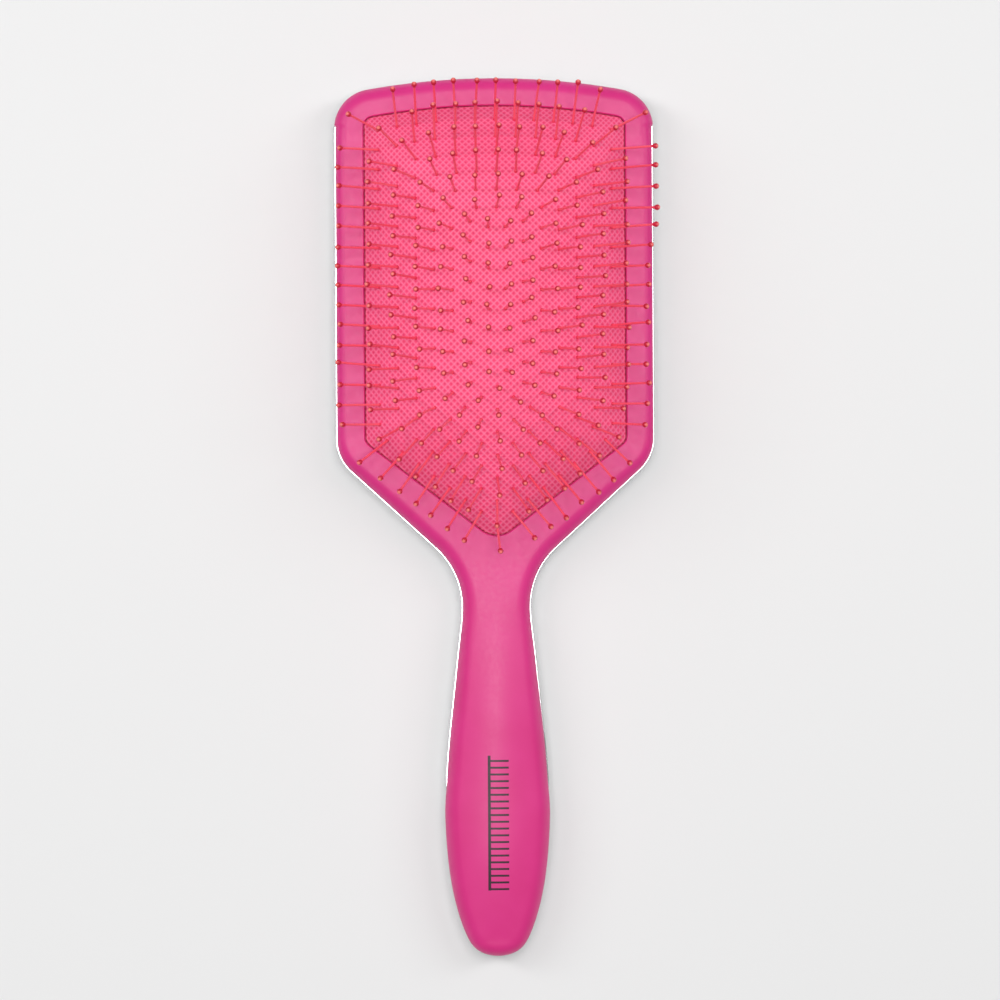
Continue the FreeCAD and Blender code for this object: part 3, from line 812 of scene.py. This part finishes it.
class Material:
    """A node material, with short calls for its nodes."""

    def __init__(self, name):
        self.material = bpy.data.materials.new(name)
        self.material.use_nodes = True
        self.tree = self.material.node_tree
        self.shader = self.tree.nodes["Principled BSDF"]

    def node(self, kind, **settings):
        node = self.tree.nodes.new(kind)
        for key, value in settings.items():
            setattr(node, key, value)
        return node

    def join(self, value, socket):
        """Links value, another node's output, to the socket, or sets the socket to it if it's plain."""
        if isinstance(value, bpy.types.NodeSocket):
            self.tree.links.new(value, socket)
        else:
            socket.default_value = value

    def math(self, operation, *values):
        node = self.node("ShaderNodeMath", operation=operation)
        for value, socket in zip(values, node.inputs):
            self.join(value, socket)
        return node.outputs[0]

    def attribute(self, name, output="Fac"):
        return self.node("ShaderNodeAttribute", attribute_name=name).outputs[output]

    def place(self):
        return self.node("ShaderNodeTexCoord").outputs["Object"]

    def parts(self, vector):
        """The vector's x, y and z."""
        node = self.node("ShaderNodeSeparateXYZ")
        self.join(vector, node.inputs[0])
        return node.outputs

    def noise(self, scale, detail=2.0):
        node = self.node("ShaderNodeTexNoise")
        self.join(self.place(), node.inputs["Vector"])
        node.inputs["Scale"].default_value = scale
        node.inputs["Detail"].default_value = detail
        return node.outputs["Fac"]

    def ramp(self, value, low, high, to_low, to_high, smooth=False):
        """Goes from to_low to to_high as value goes from low to high."""
        node = self.node("ShaderNodeMapRange", interpolation_type="SMOOTHSTEP" if smooth else "LINEAR")
        for v, socket in zip((value, low, high, to_low, to_high), node.inputs):
            self.join(v, socket)
        return node.outputs["Result"]

    def mix(self, factor, a, b):
        node = self.node("ShaderNodeMix", data_type="RGBA")
        self.join(factor, node.inputs["Factor"])
        colour_inputs = [s for s in node.inputs if s.type == "RGBA"]
        for value, socket in zip((a, b), colour_inputs):
            self.join(value if isinstance(value, bpy.types.NodeSocket) else (*value, 1.0), socket)
        return [s for s in node.outputs if s.type == "RGBA"][0]

    def bump(self, height, distance, strength=1.0):
        node = self.node("ShaderNodeBump")
        node.inputs["Strength"].default_value = strength
        node.inputs["Distance"].default_value = distance
        self.join(height, node.inputs["Height"])
        self.join(node.outputs["Normal"], self.shader.inputs["Normal"])

    def set(self, **values):
        """Sets or links the shader's own inputs, by their names with _ for a space."""
        for key, value in values.items():
            socket = self.shader.inputs[key.replace("_", " ")]
            if isinstance(value, tuple) and len(value) == 3 and socket.type == "RGBA":
                value = (*value, 1.0)
            self.join(value, socket)


def linear(red, green, blue):
    """A screen colour, 0 to 255, as linear light."""
    def one(value):
        value /= 255
        return value / 12.92 if value <= 0.04045 else ((value + 0.055) / 1.055) ** 2.4
    return one(red), one(green), one(blue)


def chrome():
    m = Material("bright plating")
    smear = m.noise(60.0, 3.0)
    m.set(
        Base_Color=m.mix(smear, (0.82, 0.83, 0.85), (0.90, 0.91, 0.93)),
        Metallic=1.0,
        Roughness=m.ramp(m.noise(240.0, 4.0), 0.3, 0.7, 0.04, 0.10),
    )
    m.bump(m.noise(45.0), 0.00002, 0.15)
    return m.material


def soft_touch():
    m = Material("pink soft-touch coat")
    x, y, z = m.parts(m.place())
    cloud = m.ramp(m.noise(70.0, 3.0), 0.3, 0.7, 0.0, 1.0)
    coat = m.mix(cloud, linear(217, 41, 127), linear(222, 47, 134))

    def between(value, low, high):
        """1 where value is between low and high, with slightly soft ends."""
        soft = 0.00008
        rise = m.ramp(value, low - soft, low + soft, 0.0, 1.0)
        fall = m.ramp(value, high - soft, high + soft, 1.0, 0.0)
        return m.math("MULTIPLY", rise, fall)

    # a comb printed along the handle: a spine with teeth
    mark_low, mark_high, tooth_pitch = -0.105, -0.067, 0.0019
    phase = m.math("FRACT", m.math("DIVIDE", m.math("SUBTRACT", y, mark_low), tooth_pitch))
    tooth = m.math("MULTIPLY", between(phase, 0.06, 0.36), between(x, -0.0024, 0.0029))
    spine = between(x, -0.0030, -0.0022)
    shape = m.math("MAXIMUM", tooth, spine)
    mark = m.math("MULTIPLY", shape, between(y, mark_low, mark_high))
    mark = m.math("MULTIPLY", mark, m.ramp(z, RIM_Z, RIM_Z + 0.001, 0.0, 1.0))
    m.set(
        Base_Color=m.mix(mark, coat, linear(44, 6, 30)),
        Roughness=m.ramp(m.noise(900.0, 3.0), 0.3, 0.7, 0.38, 0.46),
        Specular_IOR_Level=0.5,
    )
    m.bump(m.noise(5200.0, 2.0), 0.00002, 0.35)
    return m.material


def rubber():
    m = Material("pink rubber")
    p, q, _ = m.parts(m.attribute("weave", "Vector"))
    turn = 2 * math.pi
    wave_p = m.math("COSINE", m.math("MULTIPLY", p, turn))
    wave_q = m.math("COSINE", m.math("MULTIPLY", q, turn))
    high_p = m.math("MULTIPLY_ADD", wave_p, 0.5, 0.5)
    high_q = m.math("MULTIPLY_ADD", wave_q, 0.5, 0.5)
    dimple_power, ridge_power = 2.2, 9.0
    dimple = m.math("POWER", m.math("MULTIPLY", high_p, high_q), dimple_power)
    ridge_p = m.math("POWER", m.math("SUBTRACT", 1.0, high_p), ridge_power)
    ridge_q = m.math("POWER", m.math("SUBTRACT", 1.0, high_q), ridge_power)
    ridge = m.math("MAXIMUM", ridge_p, ridge_q)
    cloud = m.ramp(m.noise(40.0, 2.0), 0.3, 0.7, 0.0, 1.0)
    plain = m.mix(cloud, linear(250, 76, 126), linear(255, 84, 136))
    # the ridges are painted lighter: a painted highlight where they catch the light
    plain_with_painted_ridge_highlight = m.mix(m.math("MULTIPLY", ridge, 0.7), plain, linear(255, 142, 180))
    m.set(
        # the dimples are painted darker: painted shade in the hollows. The same ridge and dimple masks
        # also shape the bump below
        Base_Color=m.mix(m.math("MULTIPLY", dimple, 0.6), plain_with_painted_ridge_highlight, linear(222, 50, 100)),
        Roughness=m.ramp(ridge, 0.0, 1.0, 0.50, 0.36),
        Specular_IOR_Level=0.35,
    )
    height = m.math("SUBTRACT", m.math("MULTIPLY", ridge, 0.5), dimple)
    m.bump(height, 0.00012, 0.5)
    return m.material


def pin_plastic():
    m = Material("coral nylon")
    height = m.attribute("height")
    tone = m.attribute("tone")
    shaft = m.mix(tone, linear(255, 88, 116), linear(255, 104, 126))
    # the pin's root is painted darker red: painted shade where the pin enters the pad
    shaft_with_painted_root_shade = m.mix(m.ramp(height, 0.02, 0.06, 0.0, 1.0), linear(232, 62, 98), shaft)
    # the ball is painted dark red: painted shade on its sides, which face away from the light
    ball = m.mix(m.ramp(height, 0.885, 0.935, 0.0, 1.0), shaft_with_painted_root_shade, linear(198, 30, 58))
    # the ball's very top is painted light salmon: a painted highlight
    painted_highlight_cap = m.ramp(height, 0.984, 0.9995, 0.0, 1.0, smooth=True)
    m.set(
        Base_Color=m.mix(painted_highlight_cap, ball, linear(252, 124, 116)),
        Roughness=m.ramp(m.noise(1500.0, 2.0), 0.3, 0.7, 0.26, 0.36),
        Specular_IOR_Level=0.5,
    )
    m.bump(m.noise(4000.0, 2.0), 0.00001, 0.2)
    return m.material


def plain_plastic():
    m = Material("moulded inner plastic")
    m.set(
        Base_Color=m.mix(m.noise(120.0, 3.0), (0.17, 0.17, 0.19), (0.21, 0.21, 0.22)),
        Roughness=m.ramp(m.noise(900.0, 2.0), 0.3, 0.7, 0.5, 0.62),
    )
    m.bump(m.noise(2500.0, 2.0), 0.00003, 0.4)
    return m.material


def paper():
    m = Material("pale floor")
    m.set(
        Base_Color=m.mix(m.noise(8.0, 2.0), (0.83, 0.83, 0.83), (0.84, 0.84, 0.84)),
        Roughness=0.9,
        Specular_IOR_Level=0.1,
    )
    return m.material


def dress(piece, material):
    piece.data.materials.clear()
    piece.data.materials.append(material)


# ---------------------------------------------------------------- the stage

def floor():
    size = 30.0
    mesh = bpy.data.meshes.new("floor")
    corners = [(-size, -size, 0), (size, -size, 0), (size, size, 0), (-size, size, 0)]
    mesh.from_pydata(corners, [], [(0, 1, 2, 3)])
    piece = bpy.data.objects.new("floor", mesh)
    bpy.context.scene.collection.objects.link(piece)
    return piece


def softbox(name, place, width, height, power):
    """A rectangular light at place that faces the brush."""
    data = bpy.data.lights.new(name, "AREA")
    data.shape = "RECTANGLE"
    data.size = width
    data.size_y = height
    data.energy = power
    light = bpy.data.objects.new(name, data)
    light.location = place
    target = Vector((0, 0.02, 0.01))
    light.rotation_mode = "QUATERNION"
    light.rotation_quaternion = (target - Vector(place)).to_track_quat("-Z", "Y")
    bpy.context.scene.collection.objects.link(light)


# The room's own light, level with the brush and overhead. The walls look as bright as the far floor, so
# that no horizon shows.
WALL_LIGHT = 0.26
CEILING_LIGHT = 0.34


def studio():
    """The room's light, a soft light overhead and one from each side."""
    world = bpy.data.worlds.new("studio")
    world.use_nodes = True
    background = world.node_tree.nodes["Background"]
    background.inputs["Color"].default_value = (1.0, 1.0, 1.0, 1.0)
    tree = world.node_tree
    height = tree.nodes.new("ShaderNodeSeparateXYZ")
    tree.links.new(tree.nodes.new("ShaderNodeTexCoord").outputs["Generated"], height.inputs[0])
    sky = tree.nodes.new("ShaderNodeMapRange")
    for value, socket in zip((0.0, 1.0, WALL_LIGHT, CEILING_LIGHT), sky.inputs[1:5]):
        socket.default_value = value
    tree.links.new(height.outputs["Z"], sky.inputs[0])
    tree.links.new(sky.outputs["Result"], background.inputs["Strength"])
    bpy.context.scene.world = world
    softbox("key", (-0.05, 0.14, 1.45), 0.8, 0.6, 10.0)
    softbox("left strip", (-0.85, 0.35, 0.95), 0.25, 0.8, 3.9)
    softbox("right strip", (0.85, 0.35, 0.95), 0.25, 0.8, 3.3)


def camera():
    """Looks down on the pins from far off, a little from the left."""
    distance = 1.25
    yaw = math.radians(2.2)
    roll = math.radians(0.33)
    field = 0.2827                      # width of the view at the target
    target = Vector((0.00117, 0.0048, 0.0085))
    back = Vector((-math.sin(yaw), 0, math.cos(yaw)))
    up = Vector((math.sin(roll), math.cos(roll), 0))
    right = up.cross(back).normalized()
    up = back.cross(right)
    data = bpy.data.cameras.new("camera")
    data.sensor_width = 36.0
    data.lens = data.sensor_width * distance / field
    data.clip_start = 0.01
    data.clip_end = 100.0
    made = bpy.data.objects.new("camera", data)
    turned = Matrix((right, up, back)).transposed().to_4x4()
    made.matrix_world = Matrix.Translation(target + back * distance) @ turned
    bpy.context.scene.collection.objects.link(made)
    bpy.context.scene.camera = made


dress(front_shell(), soft_touch())
dress(back_shell(), chrome())
dress(cushion_pad(), rubber())
coral = pin_plastic()
for pin_piece in all_pins():
    dress(pin_piece, coral)
dress(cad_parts["pad_clamp_frame"], plain_plastic())
dress(floor(), paper())
studio()
camera()
bpy.context.scene.view_settings.view_transform = "Standard"
